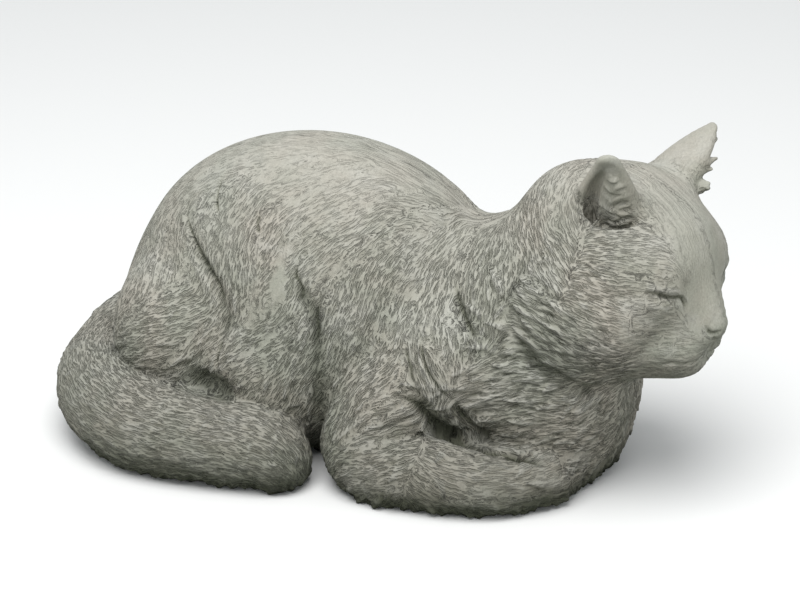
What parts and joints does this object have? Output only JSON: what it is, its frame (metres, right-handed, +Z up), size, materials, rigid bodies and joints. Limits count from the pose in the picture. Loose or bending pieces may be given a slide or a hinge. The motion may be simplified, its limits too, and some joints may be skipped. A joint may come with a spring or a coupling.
{
  "type": "sleeping cat statue",
  "caption": "Cast stone statue of a cat asleep, lying with its paws folded under, its tail round its side and its head turned, with carved fur.",
  "frame": {"origin": "centre of the outline's box on the flat underside, which rests on the ground", "axes": "+X towards the cat's nose, along its length; +Y towards its left side; +Z up"},
  "size_m": [0.3703, 0.19, 0.2017],
  "materials": {
    "cast_stone": "matte, weathered, greenish in the hollows and along the lower edge"
  },
  "bodies": {
    "root": {"sleeping_cat": "cast_stone"}
  },
  "joints": []
}
